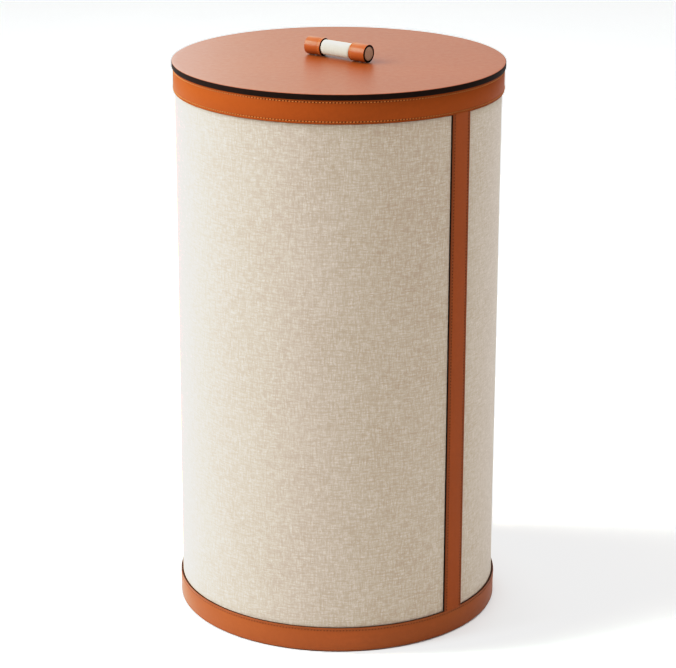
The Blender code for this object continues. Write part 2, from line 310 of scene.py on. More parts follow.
def draw_disc(name, radius, height, rings):
    """A flat sheet cut round, with rings of faces in to its middle."""
    put_tools_down()
    bpy.ops.mesh.primitive_circle_add(
        vertices=RING_STEPS, radius=radius, fill_type="NGON", location=(0, 0, height))
    piece = take_new_piece(name)
    start_editing(piece, selected=True)
    inset_to_middle(radius, rings)
    point_faces_out()
    finish_editing()
    return piece


def inset_to_middle(radius, rings):
    """Inset the selected round face ring by ring and close its middle with a fan."""
    for _ in range(rings):
        bpy.ops.mesh.inset(thickness=radius / (rings + 1))
    bpy.ops.mesh.poke()


def thicken(piece, thickness, inwards=True):
    """Give a sheet its thickness, behind its face or in front of it."""
    solid = piece.modifiers.new("thickness", "SOLIDIFY")
    solid.thickness = thickness
    solid.offset = -1.0 if inwards else 1.0
    solid.use_even_offset = True
    apply_modifiers(piece)


def let_wander(piece, amount, reach):
    """Let a sheet wander softly off its true face, as bonded cloth does."""
    clouds = bpy.data.textures.new(piece.name + " wander", "CLOUDS")
    clouds.noise_scale = reach
    clouds.noise_depth = 1
    wander = piece.modifiers.new("wander", "DISPLACE")
    wander.texture = clouds
    wander.texture_coords = "LOCAL"
    wander.mid_level = 0.5
    wander.strength = amount
    apply_modifiers(piece)


def bearing_of(point):
    """Bearing of a point about the bin's axis, from the front to the right."""
    return math.atan2(point.x, -point.y)


def map_cloth_round(piece, radius):
    """Map a sheet round the bin in metres: distance round it, then height."""
    cloth = piece.data.uv_layers.new(name="cloth")
    for face in piece.data.polygons:
        middle = bearing_of(face.center)
        for corner in face.loop_indices:
            point = piece.data.vertices[piece.data.loops[corner].vertex_index].co
            bearing = bearing_of(point)
            bearing -= TURN * round((bearing - middle) / TURN)
            cloth.data[corner].uv = (bearing * radius, point.z)


def wrap_cloth(name, radius, low, high, rows, slack, reach, thickness, inwards=True, steps=RING_STEPS):
    """A sheet wrapped round the upright axis from one height to another, with its weave mapped on it."""
    section = [(radius, low + (high - low) * row / rows) for row in range(rows + 1)]
    cloth = draw_ring(name, section, steps, closed=False)
    let_wander(cloth, slack, reach)
    thicken(cloth, thickness, inwards)
    map_cloth_round(cloth, radius)
    return cloth


def map_cloth_flat(piece):
    """Map a flat sheet in metres, straight down."""
    cloth = piece.data.uv_layers.new(name="cloth")
    for corner in piece.data.loops:
        point = piece.data.vertices[corner.vertex_index].co
        cloth.data[corner.index].uv = (point.x, point.y)


def paint(piece, face_material, edge_material=None, is_edge=None):
    """Give a piece its material, and a second one to the faces that are its edges."""
    piece.data.materials.clear()
    piece.data.materials.append(face_material)
    if edge_material is None:
        return
    piece.data.materials.append(edge_material)
    for face in piece.data.polygons:
        face.material_index = 1 if is_edge(face) else 0


def hand_in(piece, body, slot, *nodes):
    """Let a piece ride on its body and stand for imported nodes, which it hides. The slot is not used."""
    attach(piece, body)
    if nodes:
        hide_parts(*nodes)


# ---------------------------------------------------------------- stitching


def make_stitch(name, sizes, length):
    """One stitch along Y at the origin, its ends going down into the leather behind it."""
    put_tools_down()
    straight = length * 0.5
    bpy.ops.mesh.primitive_cylinder_add(
        vertices=6, radius=sizes.thread_radius, depth=straight, rotation=(math.pi / 2, 0, 0))
    piece = take_new_piece(name)
    start_editing(piece)
    for side in (-1, 1):
        pick("faces", lambda face, side=side: face.normal.y * side > 0.9)
        reach = side * (length - straight) / 2
        bpy.ops.mesh.extrude_region_move(
            TRANSFORM_OT_translate={"value": (-sizes.thread_radius * 1.1, reach, 0)})
        bpy.ops.transform.resize(
            value=(0.6, 1, 0.6), center_override=(-sizes.thread_radius * 1.1, straight / 2 * side + reach, 0))
    point_faces_out()
    finish_editing(60.0)
    return piece


def place_in_edit(piece, matrix):
    """Move a piece's whole mesh by a matrix and settle it."""
    piece.matrix_world = matrix
    settle(piece)


def stitches_round(sizes):
    """How many stitches a row round a band has."""
    return round(TURN * sizes.band_radius / sizes.stitch_pitch)


def stitch_ring(name, sizes, radius, height, inside=False, length=None, count=None):
    """A row of stitches round a turned wall, on its outside or its inside."""
    stitch = make_stitch(name, sizes, length or sizes.stitch_length)
    facing = Matrix.Rotation(math.pi, 4, "Z") if inside else Matrix.Identity(4)
    slant = Matrix.Rotation(STITCH_SLANT, 4, "X")
    place_in_edit(stitch, Matrix.Translation((radius, 0, height)) @ facing @ slant)
    count = count or stitches_round(sizes)
    start_editing(stitch, selected=True)
    bpy.ops.mesh.spin(
        steps=count - 1, dupli=True, angle=TURN * (count - 1) / count, center=(0, 0, 0), axis=(0, 0, 1))
    finish_editing(60.0)
    return stitch


def sew_groove(name, body, thread, sizes, radius, height, inside=False, proud=0.8):
    """A row of stitches in the groove round a wall, standing out of it by a share of the thread."""
    depth = sizes.groove_depth - sizes.thread_radius * proud
    row = stitch_ring(name, sizes, radius + depth if inside else radius - depth, height, inside)
    paint(row, thread)
    hand_in(row, body, "band_leather")


def stitch_column(name, sizes, radius, bearing, low, high):
    """A row of stitches up a wall at one bearing."""
    stitch = make_stitch(name, sizes, sizes.stitch_length)
    upright = Matrix.Rotation(math.pi / 2, 4, "X")
    facing = Matrix.Rotation(bearing - math.pi / 2, 4, "Z")
    count = int((high - low) / sizes.stitch_pitch)
    place_in_edit(stitch, facing @ Matrix.Translation((radius, 0, low + sizes.stitch_pitch / 2)) @ upright)
    row = stitch.modifiers.new("row", "ARRAY")
    row.use_relative_offset = False
    row.use_constant_offset = True
    row.constant_offset_displace = (0, 0, sizes.stitch_pitch)
    row.count = count
    apply_modifiers(stitch)
    return stitch


# ---------------------------------------------------------------- materials


def put(tree, kind, inputs=None, **settings):
    """Add a node with its settings, and set or join its inputs."""
    node = tree.nodes.new(kind)
    for name, value in settings.items():
        setattr(node, name, value)
    for key, value in (inputs or {}).items():
        if isinstance(value, bpy.types.NodeSocket):
            tree.links.new(value, node.inputs[key])
        else:
            node.inputs[key].default_value = value
    return node


def new_material(name):
    """An empty material with a shader joined to its output."""
    material = bpy.data.materials.new(name)
    material.use_nodes = True
    tree = material.node_tree
    tree.nodes.clear()
    shader = put(tree, "ShaderNodeBsdfPrincipled")
    put(tree, "ShaderNodeOutputMaterial", {"Surface": shader.outputs["BSDF"]})
    return material, tree, shader


def join_shader(tree, shader, tone, relief, polish):
    """Join a finish's colour, fine relief and roughness to its shader."""
    tree.links.new(tone, shader.inputs["Base Color"])
    tree.links.new(relief, shader.inputs["Normal"])
    tree.links.new(polish, shader.inputs["Roughness"])


def maths(tree, operation, first, second=0.0, third=0.0):
    """The result of one maths step."""
    return put(tree, "ShaderNodeMath", {0: first, 1: second, 2: third}, operation=operation).outputs[0]


def vector_maths(tree, operation, first, second):
    """The result of one maths step on two vectors."""
    return put(tree, "ShaderNodeVectorMath", {0: first, 1: second}, operation=operation).outputs[0]


def parts_of(tree, vector):
    """The X, Y and Z of a vector."""
    return put(tree, "ShaderNodeSeparateXYZ", {0: vector}).outputs


def gap_from(tree, value, place):
    """How far a value is from a place, either way."""
    return maths(tree, "ABSOLUTE", maths(tree, "SUBTRACT", value, place))


def fit(tree, value, low, high, new_low, new_high):
    """A value carried from one range to another, and held inside it."""
    inputs = {"Value": value, "From Min": low, "From Max": high, "To Min": new_low, "To Max": new_high}
    return put(tree, "ShaderNodeMapRange", inputs).outputs["Result"]


def spread(tree, random, low, high):
    """A soft random value spread over a range."""
    return fit(tree, random, 0.3, 0.7, low, high)


def noise(tree, vector, scale, detail=3.0, roughness=0.5):
    """A soft random value round one half."""
    inputs = {"Vector": vector, "Scale": scale, "Detail": detail, "Roughness": roughness}
    return put(tree, "ShaderNodeTexNoise", inputs).outputs["Fac"]


def blend(tree, share, first, second):
    """Two colours mixed by a share."""
    node = put(tree, "ShaderNodeMix", data_type="RGBA")
    for socket, value in zip((node.inputs[0], node.inputs[6], node.inputs[7]), (share, first, second)):
        if isinstance(value, bpy.types.NodeSocket):
            tree.links.new(value, socket)
        else:
            socket.default_value = (*value[:3], 1.0)
    return node.outputs[2]


def shade(colour, factor):
    """A colour made lighter or darker."""
    return tuple(min(1.0, channel * factor) for channel in colour)


def bump(tree, height, distance, strength, under=None):
    """Fine relief from a height."""
    inputs = {"Height": height, "Distance": distance, "Strength": strength}
    if under is not None:
        inputs["Normal"] = under
    return put(tree, "ShaderNodeBump", inputs).outputs["Normal"]


def object_position(tree, turn=0.0, centre=(0, 0, 0)):
    """Position on the object, moved to a centre and turned about the upright axis."""
    moved = vector_maths(tree, "SUBTRACT", put(tree, "ShaderNodeTexCoord").outputs["Object"], centre)
    return put(tree, "ShaderNodeMapping", {"Vector": moved, "Rotation": (0, 0, turn)}).outputs[0]


def bearing_socket(tree, parts):
    """Bearing about the bin's axis, from the front to the right."""
    return maths(tree, "ARCTAN2", parts["X"], maths(tree, "MULTIPLY", parts["Y"], -1.0))


def darken_near(tree, tone, gap, reach, share, dark):
    """Darken a colour where a gap is small."""
    return blend(tree, fit(tree, gap, 0.0, reach, share, 0.0), tone, dark)


def pierce(tree, tone, gap, stitches, dark):
    """Paint shade into a colour at the needle holes, which lie on a row halfway between its stitches."""
    hole = fit(tree, gap_from(tree, maths(tree, "FRACT", stitches), 0.5), 0.10, 0.26, 1.0, 0.0)
    near = fit(tree, gap, 0.0003, 0.0009, 1.0, 0.0)
    return blend(tree, maths(tree, "MULTIPLY", hole, near), tone, dark)


def mark_stitch_row(tree, tone, parts, colour, row, count, pressed):
    """Press leather dark along the height of a stitch row, and paint shade into its needle holes."""
    gap = gap_from(tree, parts["Z"], row)
    tone = darken_near(tree, tone, gap, 0.0009, pressed, shade(colour, 0.5))
    turned = maths(tree, "MULTIPLY_ADD", bearing_socket(tree, parts), 1.0 / TURN, -0.25)
    return pierce(tree, tone, gap, maths(tree, "MULTIPLY", turned, count), shade(colour, 0.7 - pressed))


def mark_strip(tree, tone, parts, colour, sizes):
    """Darken the strip's leather towards its long edges, as burnish and as painted shade where they round
    off, and paint shade into the holes of its two stitch rows.
    """
    radius = sizes.linen_radius
    half_width = sizes.strip_width / 2 / radius
    row_place = half_width - (sizes.stitch_inset + FINE_ROUND) / radius
    first_stitch = node_low("seam_strip").z + ROW_START + sizes.stitch_pitch / 2
    aside = gap_from(tree, bearing_socket(tree, parts), sizes.strip_bearing)
    # Burnish and painted shade: darker towards both long edges of the strip.
    tone = darken_near(
        tree, tone, maths(tree, "SUBTRACT", half_width, aside), 0.026, 0.75, shade(colour, 0.50))
    gap = maths(tree, "ABSOLUTE", maths(tree, "MULTIPLY", maths(tree, "SUBTRACT", aside, row_place), radius))
    climb = maths(tree, "DIVIDE", maths(tree, "SUBTRACT", parts["Z"], first_stitch), sizes.stitch_pitch)
    return pierce(tree, tone, gap, climb, shade(colour, 0.30))


def rub_rim(tree, tone, place, colour, wear_and_highlight):
    """Wear leather pale towards the lid's rim, which also paints a highlight along it."""
    flat = vector_maths(tree, "MULTIPLY", place, (1, 1, 0))
    reach = put(tree, "ShaderNodeVectorMath", {0: flat}, operation="LENGTH").outputs["Value"]
    rim = node_high("lid_leather").x
    return blend(tree, fit(tree, reach, rim - 0.0035, rim, 0.0, wear_and_highlight), tone, shade(colour, 1.7))


def leather_material(
        name, colour, ior, edges=(), rows=(), pressed=0.5, roughness=0.42, wear_and_highlight=0.0, strip=False):
    """Smooth tanned leather with fine grain and cloudy dye, burnished at the heights of its edges and pressed
    dark at the heights of its stitch rows with painted shade in their needle holes; on the strip darker
    towards its long edges in burnish and painted shade; on the lid worn pale round the rim with a painted
    highlight there."""
    material, tree, shader = new_material(name)
    sizes = bpy.context.scene.bin_sizes
    place = object_position(tree)
    parts = parts_of(tree, place)
    clouds = noise(tree, place, 10.0, 3.0, 0.5)
    specks = noise(tree, place, 260.0, 4.0, 0.6)
    tone = blend(tree, spread(tree, clouds, 0.0, 1.0), shade(colour, 0.95), shade(colour, 1.05))
    tone = blend(tree, fit(tree, specks, 0.35, 0.65, 0.0, 0.30), tone, shade(colour, 0.82))
    for edge in edges:
        tone = darken_near(tree, tone, gap_from(tree, parts["Z"], edge), 0.0022, 0.5, shade(colour, 0.55))
    for row in rows:
        tone = mark_stitch_row(tree, tone, parts, colour, row, stitches_round(sizes), pressed)
    if strip:
        tone = mark_strip(tree, tone, parts, colour, sizes)
    # Pale wear and a painted highlight round the lid's rim.
    if wear_and_highlight > 0.0:
        tone = rub_rim(tree, tone, place, colour, wear_and_highlight)
    cells = put(tree, "ShaderNodeTexVoronoi", {"Vector": place, "Scale": 1150.0}, feature="F1")
    grain = bump(tree, cells.outputs["Distance"], 0.00005, 0.35)
    grain = bump(tree, noise(tree, place, 520.0, 5.0, 0.62), 0.00008, 0.45, grain)
    grain = bump(tree, noise(tree, place, 38.0, 2.0, 0.5), 0.0001, 0.06, grain)
    polish = spread(tree, noise(tree, place, 160.0, 3.0), roughness - 0.02, roughness + 0.02)
    join_shader(tree, shader, tone, grain, polish)
    shader.inputs["IOR"].default_value = ior
    return material


def band_leather(name, colours, sizes):
    """The tan leather of the bands, burnished along the lower edge and pressed along the stitch rows."""
    low, high = node_low("rim_band").z, node_high("rim_band").z
    rows = (low + sizes.stitch_inset, high - sizes.stitch_inset)
    return leather_material(name, colours.leather, 1.07, (low,), rows)


def foot_leather(name, colours, sizes):
    """The tan leather of the foot, burnished along both its edges and pressed along its stitch row."""
    low, high = node_low("foot_band").z, node_high("foot_band").z
    return leather_material(
        name, colours.foot_leather, 1.19, (low, high), (high - sizes.stitch_inset,), pressed=0.15)


def strip_leather(name, colours, sizes):
    """The tan leather of the strip, darker towards its long edges in burnish and painted shade."""
    return leather_material(name, colours.leather, 1.16, strip=True)


def sleeve_leather(name, colours, sizes):
    """The lighter, smoother tan leather of the handle's sleeves."""
    return leather_material(name, shade(colours.leather, 1.28), 1.26, roughness=0.32)


def lid_leather(name, colours, sizes):
    """The tan leather of the lid, worn pale round its rim, with a painted highlight there."""
    return leather_material(name, colours.lid_leather, 1.305, roughness=0.38, wear_and_highlight=0.15)


def grained_material(name, colour, grain, shades, relief, polish, patches=None, layer=None, uniform=None):
    """A finish with one fine grain in its colour, relief and polish, and softer patches over it."""
    material, tree, shader = new_material(name)
    place = object_position(tree)
    fleck = noise(tree, place, *grain)
    tone = blend(tree, fleck, shade(colour, shades[0]), shade(colour, shades[1]))
    if patches is not None:
        scale, detail, roughness, share, factor = patches
        patch = noise(tree, place, scale, detail, roughness)
        tone = blend(tree, spread(tree, patch, 0.0, share), tone, shade(colour, factor))
    if layer is not None:
        tone = layer(tree, place, tone)
    join_shader(tree, shader, tone, bump(tree, fleck, *relief), spread(tree, fleck, *polish))
    for socket, value in (uniform or {}).items():
        shader.inputs[socket].default_value = value
    return material


def paint_on_edges(name, colour):
    """Thick dark paint or burnish on cut leather, slightly uneven."""
    return grained_material(
        name, colour, (300.0, 3.0), (0.7, 1.5), (0.0001, 0.5), (0.45, 0.60), uniform={"IOR": 1.08})


def edge_paint(name, colours, sizes):
    """The paint on the cut edges."""
    return paint_on_edges(name, colours.edge_paint)


def burnished_edge(name, colours, sizes):
    """The rubbed brown edge of the foot band."""
    return paint_on_edges(name, colours.burnished)


def twisted_thread(name, colour):
    """Waxed thread with its twist."""
    return grained_material(
        name, colour, (2200.0, 2.0), (0.75, 1.2), (0.00008, 0.6), (0.5, 0.7), uniform={"IOR": 1.20})


def waxed_thread(name, colours, sizes):
    """The thread of the stitching."""
    return twisted_thread(name, colours.thread)


def dark_thread(name, colours, sizes):
    """The darker thread of the strip and foot."""
    return twisted_thread(name, colours.strip_thread)


def board_material(name, colour, layer=None):
    """Pressed paper board with fibres and soft patches."""
    return grained_material(
        name, colour, (700.0, 5.0, 0.7), (0.72, 1.22), (0.0001, 0.5), (0.8, 0.94),
        patches=(30.0, 3.0, 0.5, 0.35, 0.85), layer=layer)


def pressed_board(name, colours, sizes):
    """The board of the base, lid and hoop."""
    return board_material(name, colours.board)


def wound_tube(name, colours, sizes):
    """The board of the tube, with the slanting joints of its winding."""

    def joints(tree, place, tone):
        parts = parts_of(tree, place)
        bearing = maths(tree, "DIVIDE", maths(tree, "ARCTAN2", parts["X"], parts["Y"]), TURN)
        climb = maths(tree, "MULTIPLY_ADD", parts["Z"], WINDINGS_PER_METRE, bearing)
        joint = fit(tree, maths(tree, "FRACT", climb), 0.0, 0.012, 0.55, 0.0)
        return blend(tree, joint, tone, shade(colours.tube, 0.4))

    return board_material(name, colours.tube, joints)


def pressed_felt(name, colours, sizes):
    """Pressed wool felt, mottled and fuzzy."""
    return grained_material(
        name, colours.felt, (900.0, 6.0, 0.75), (0.5, 1.6), (0.0006, 0.8), (0.9, 1.0),
        patches=(120.0, 4.0, 0.6, 0.4, 1.4), uniform={"Sheen Weight": 0.5, "Sheen Roughness": 0.6})


def screw_steel(name, colours, sizes):
    """Turned and zinc-plated steel with fine marks."""
    return grained_material(
        name, colours.steel, (1600.0, 4.0, 0.7), (0.8, 1.1), (0.00003, 0.4), (0.25, 0.45),
        uniform={"Metallic": 1.0})


def dowel_wood(name, colours, sizes):
    """Fine-grained wood with growth rings round the bar's own middle."""
    material, tree, shader = new_material(name)
    place = object_position(tree, -sizes.handle_bearing, (0, 0, bar_height()))
    rings = put(tree, "ShaderNodeTexWave", {
        "Vector": vector_maths(tree, "ADD", place, (0, 0.011, 0.004)), "Scale": 210.0, "Distortion": 1.6,
        "Detail": 3.0, "Detail Scale": 1.2}, wave_type="RINGS", rings_direction="X").outputs["Fac"]
    pores = noise(tree, vector_maths(tree, "MULTIPLY", place, (0.12, 1, 1)), 2400.0, 3.0, 0.7)
    tone = blend(tree, rings, shade(colours.wood, 0.74), shade(colours.wood, 1.18))
    tone = blend(tree, fit(tree, pores, 0.35, 0.6, 0.5, 0.0), tone, shade(colours.wood, 0.5))
    join_shader(tree, shader, tone, bump(tree, pores, 0.0001, 0.4), spread(tree, pores, 0.62, 0.48))
    return material


def studio_floor(name, studio):
    """Matt white floor with a faint mottle."""
    material, tree, shader = new_material(name)
    faint = noise(tree, object_position(tree), 3.0, 2.0)
    tone = blend(tree, faint, shade(studio.floor_colour, 0.99), studio.floor_colour)
    tree.links.new(tone, shader.inputs["Base Color"])
    shader.inputs["Roughness"].default_value = 0.9
    shader.inputs["Specular IOR Level"].default_value = 0.1
    return material


def half_wave(tree, value):
    """A round rise and fall over each whole step of a value."""
    return maths(tree, "SINE", maths(tree, "MULTIPLY", maths(tree, "FRACT", value), math.pi))


def woven_yarns(tree, pitch, slub):
    """A plain weave on the cloth map: the height of the yarn on top and its own tone."""
    cloth = put(tree, "ShaderNodeUVMap", uv_map="cloth").outputs["UV"]
    parts = parts_of(tree, cloth)
    across = maths(tree, "DIVIDE", parts["X"], pitch)
    along = maths(tree, "DIVIDE", parts["Y"], pitch)
    warp = maths(tree, "FLOOR", across)
    weft = maths(tree, "FLOOR", along)
    warp_round = half_wave(tree, across)
    weft_round = half_wave(tree, along)
    on_top = maths(tree, "FLOORED_MODULO", maths(tree, "ADD", warp, weft), 2.0)
    warp_height = maths(tree, "MULTIPLY", warp_round, maths(tree, "MULTIPLY_ADD", weft_round, 0.6, 0.4))
    weft_height = maths(tree, "MULTIPLY", weft_round, maths(tree, "MULTIPLY_ADD", warp_round, 0.6, 0.4))
    warp_place = put(tree, "ShaderNodeCombineXYZ", {
        0: maths(tree, "MULTIPLY", warp, 7.31), 1: maths(tree, "DIVIDE", parts["Y"], slub)}).outputs[0]
    weft_place = put(tree, "ShaderNodeCombineXYZ", {
        0: maths(tree, "DIVIDE", parts["X"], slub), 1: maths(tree, "MULTIPLY", weft, 5.17), 2: 9.0,
    }).outputs[0]
    warp_tone = noise(tree, warp_place, 1.0, 2.0, 0.6)
    weft_tone = noise(tree, weft_place, 1.0, 2.0, 0.6)
    height = put(tree, "ShaderNodeMix", {0: on_top, 2: warp_height, 3: weft_height}).outputs[0]
    tone = put(tree, "ShaderNodeMix", {0: on_top, 2: warp_tone, 3: weft_tone}).outputs[0]
    return cloth, height, tone


def streaks(tree, cloth, along, across):
    """Soft random marks drawn out along one set of yarns."""
    return noise(tree, vector_maths(tree, "MULTIPLY", cloth, (along, across, 1.0)), 1.0, 3.0, 0.6)


def linen_material(name, light, dark, pitch, contrast=1.0, slub=0.010, relief=1.0):
    """Plain-woven flax linen with slubs, heathered yarns, painted shade where the yarns dip and a dry,
    slightly fuzzy face.
    """
    material, tree, shader = new_material(name)
    cloth, height, tone = woven_yarns(tree, pitch, slub)
    narrow = 0.13 / contrast
    colour = blend(tree, fit(tree, tone, 0.5 - narrow, 0.5 + narrow, 0.0, 1.0), dark, light)
    heather = noise(tree, cloth, 520.0, 3.0, 0.55)
    colour = blend(tree, fit(tree, heather, 0.38, 0.66, 0.0, 0.45 * contrast), colour, dark)
    weft = streaks(tree, cloth, 90.0, 480.0)
    warp = streaks(tree, cloth, 480.0, 90.0)
    for streak in (weft, warp):
        colour = blend(tree, fit(tree, streak, 0.44, 0.70, 0.0, 0.80 * contrast), colour, dark)
    cloudy = noise(tree, cloth, 16.0, 3.0, 0.6)
    colour = blend(tree, spread(tree, cloudy, 0.0, 0.12 * contrast), colour, light)
    # Painted shade: darker where the yarns dip between the crossings.
    colour = blend(tree, fit(tree, height, 0.0, 0.55, 0.28, 0.0), colour, shade(dark, 0.55))
    slubs = bump(tree, maths(tree, "ADD", weft, warp), 0.0003, 0.5 * relief)
    yarns = maths(tree, "ADD", height, maths(tree, "MULTIPLY", tone, 0.8))
    yarns = bump(tree, yarns, 0.00012, 0.55 * relief, slubs)
    join_shader(tree, shader, colour, yarns, spread(tree, heather, 0.84, 0.95))
    shader.inputs["Diffuse Roughness"].default_value = 1.0
    shader.inputs["Specular IOR Level"].default_value = 0.18
    shader.inputs["Sheen Weight"].default_value = 0.28
    shader.inputs["Sheen Roughness"].default_value = 0.55
    shader.inputs["Sheen Tint"].default_value = (1.0, 0.97, 0.92, 1.0)
    return material


def cover_linen(name, colours, sizes):
    """The heathered linen of the cover."""
    return linen_material(name, colours.linen_light, colours.linen_dark, sizes.yarn_pitch)


def lining_linen(name, colours, sizes):
    """The finer, plainer linen of the lining and the lid's underside."""
    return linen_material(
        name, colours.lining_light, colours.lining_dark, sizes.yarn_pitch * 0.9, contrast=0.7)


def wrap_linen(name, colours, sizes):
    """The cream linen round the handle."""
    return linen_material(name, colours.wrap, shade(colours.wrap, 0.82), 0.0007, 0.8, 0.02, 0.9)


def finish(make):
    """One of the bin's finishes, made when it is first asked for and then used again."""
    name = make.__name__.replace("_", " ")
    scene = bpy.context.scene
    return bpy.data.materials.get(name) or make(name, scene.bin_colours, scene.bin_sizes)


# ---------------------------------------------------------------- stage


def light_room(studio):
    """Soft light from above, a bright wall behind that fades to the right and a paler one on the left."""
    world = bpy.data.worlds.new("studio room")
    bpy.context.scene.world = world
    world.use_nodes = True
    tree = world.node_tree
    tree.nodes.clear()
    towards = put(tree, "ShaderNodeTexCoord").outputs["Generated"]
    parts = parts_of(tree, towards)
    above = maths(tree, "POWER", maths(tree, "MAXIMUM", parts["Z"], 0.0), 2.0)
    behind = fit(tree, parts["Y"], 0.2, 0.95, 0.0, 1.0)
    behind = maths(tree, "MULTIPLY", behind, fit(tree, parts["X"], -0.05, 0.35, 1.0, 0.25))
    left = fit(tree, parts["X"], -0.2, -0.9, 0.0, 1.0)
    total = maths(tree, "MULTIPLY_ADD", above, studio.overhead, studio.room_light)
    total = maths(tree, "MULTIPLY_ADD", behind, studio.back_light, total)
    total = maths(tree, "MULTIPLY_ADD", left, studio.left_light, total)
    back = put(tree, "ShaderNodeBackground", {"Color": (1, 1, 1, 1), "Strength": total})
    put(tree, "ShaderNodeOutputWorld", {"Surface": back.outputs[0]})


def grade_tones(view):
    """Show the scene without a film look, with a soft shoulder under white."""
    view.view_transform = "Standard"
    view.use_curve_mapping = True
    mapping = view.curve_mapping
    mapping.white_level = (WHITE_LEVEL, WHITE_LEVEL, WHITE_LEVEL)
    curve = mapping.curves[3]
    for place, shown in TONE_POINTS:
        curve.points.new(place / WHITE_LEVEL, shown)
    mapping.update()


def hang_soft_light(name, place, target, side, power, colour=(1, 1, 1)):
    """A square soft light aimed at a point, out of the camera's sight."""
    put_tools_down()
    bpy.ops.object.light_add(type="AREA", location=place)
    lamp = bpy.context.object
    lamp.name = name
    lamp.data.shape = "SQUARE"
    lamp.data.size = side
    lamp.data.energy = power
    lamp.data.color = colour
    lamp.visible_camera = False
    aim = Vector(target) - lamp.location
    lamp.rotation_euler = aim.to_track_quat("-Z", "Y").to_euler()


def hang_lights(studio):
    """A wide key light high on the left, and a weak one behind it that edges the bin."""
    hang_soft_light(
        "key_light", place=(-1.54, -0.22, 1.46), target=(0, 0, 0.38), side=1.3,
        power=studio.key_power, colour=studio.key_colour)
    hang_soft_light(
        "back_light", place=(-0.60, 1.40, 1.22), target=(0, 0, 0.60), side=0.8, power=studio.back_power)


def lay_floor(studio):
    """The pale floor, its edges turned down out of sight."""
    put_tools_down()
    bpy.ops.mesh.primitive_plane_add(size=studio.floor_size, location=(0, 0, 0))
    floor = take_new_piece("studio_floor")
    start_editing(floor, selected=True)
    bpy.ops.mesh.inset(thickness=FLOOR_EDGE)
    pick("verts", lambda vert: max(abs(vert.co.x), abs(vert.co.y)) > studio.floor_size / 2 - HAIR)
    bpy.ops.transform.translate(value=(0, 0, -FLOOR_DROP))
    finish_editing()
    paint(floor, studio_floor("studio floor", studio))


def set_up_camera(studio):
    """The camera in front of the bin, looking a little down on it."""
    put_tools_down()
    bpy.ops.object.camera_add()
    camera = bpy.context.object
    camera.name = "studio_camera"
    place = Matrix.Translation((0, -studio.camera_distance, studio.camera_height))
    tilt = Matrix.Rotation(math.pi / 2 - studio.camera_tilt, 4, "X")
    roll = Matrix.Rotation(studio.camera_roll, 4, "Z")
    camera.matrix_world = place @ tilt @ roll
    camera.data.sensor_fit = "HORIZONTAL"
    camera.data.sensor_width = 36.0
    camera.data.lens = studio.camera_lens
    camera.data.clip_end = 100.0
    bpy.context.scene.camera = camera


# ---------------------------------------------------------------- bin pieces


def make_outer_linen(sizes):
    """The linen cover bonded round the tube."""
    low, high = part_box("linen_cover")
    cover = wrap_cloth(
        "outer_linen", sizes.linen_radius, low.z, high.z, CLOTH_ROWS, slack=sizes.linen_slack, reach=0.14,
        thickness=sizes.linen_thickness)
    paint(cover, finish(cover_linen))
    hand_in(cover, "bin", "outer_linen", "linen_cover")


def make_lining(sizes):
    """The lining's wall and its round floor."""
    low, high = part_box("lining_wall")
    radius = high.x - sizes.linen_thickness
    wall = wrap_cloth(
        "lining_cloth_wall", radius, low.z, high.z, CLOTH_ROWS, slack=sizes.linen_slack, reach=0.10,
        thickness=sizes.linen_thickness, inwards=False)
    paint(wall, finish(lining_linen))
    hand_in(wall, "bin", "lining_linen", "lining_wall")
    low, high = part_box("lining_floor")
    headroom = 0.0002
    footroom = 0.0001
    floor = draw_disc("lining_cloth_floor", high.x, high.z - headroom, rings=14)
    let_wander(floor, amount=sizes.linen_slack, reach=0.06)
    thicken(floor, high.z - low.z - headroom - footroom)
    map_cloth_flat(floor)
    paint(floor, finish(lining_linen))
    hand_in(floor, "bin", "lining_linen", "lining_floor")


def make_rim_band(sizes):
    """The leather folded over the rim, with two rows of stitches outside and one inside."""
    low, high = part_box("rim_band")
    outer = sizes.band_radius
    inner = sizes.rim_inner_radius
    lower_row = low.z + sizes.stitch_inset
    upper_row = high.z - sizes.stitch_inset
    inner_low = high.z - sizes.rim_inner_depth
    inner_row = inner_low + sizes.stitch_inset
    wall_inner = inner + sizes.band_leather
    wall_outer = sizes.linen_radius + GLUE_GAP
    under = high.z - sizes.band_leather
    corners = [(outer, low.z, sizes.edge_round)]
    corners += groove_corners(outer, lower_row, sizes)
    corners += groove_corners(outer, upper_row, sizes)
    corners += [(outer, high.z, sizes.shoulder_round), (inner, high.z, sizes.shoulder_round)]
    corners += groove_corners(inner, inner_row, sizes, -1)
    corners += [
        (inner, inner_low, sizes.edge_round),
        (wall_inner, inner_low, FINE_ROUND),
        (wall_inner, under, 0.0),
        (wall_outer, under, 0.0),
        (wall_outer, low.z, FINE_ROUND),
    ]
    band = draw_ring("rim_band_leather", rounded_section(corners))
    paint(band, finish(band_leather), finish(edge_paint),
          lambda face: face.normal.z < -0.5 and face.center.z < under - 0.001)
    hand_in(band, "bin", "band_leather", "rim_band")
    thread = finish(waxed_thread)
    sew_groove("rim_stitches_upper", "bin", thread, sizes, outer, upper_row)
    sew_groove("rim_stitches_lower", "bin", thread, sizes, outer, lower_row)
    sew_groove("rim_stitches_inside", "bin", thread, sizes, inner, inner_row, inside=True)


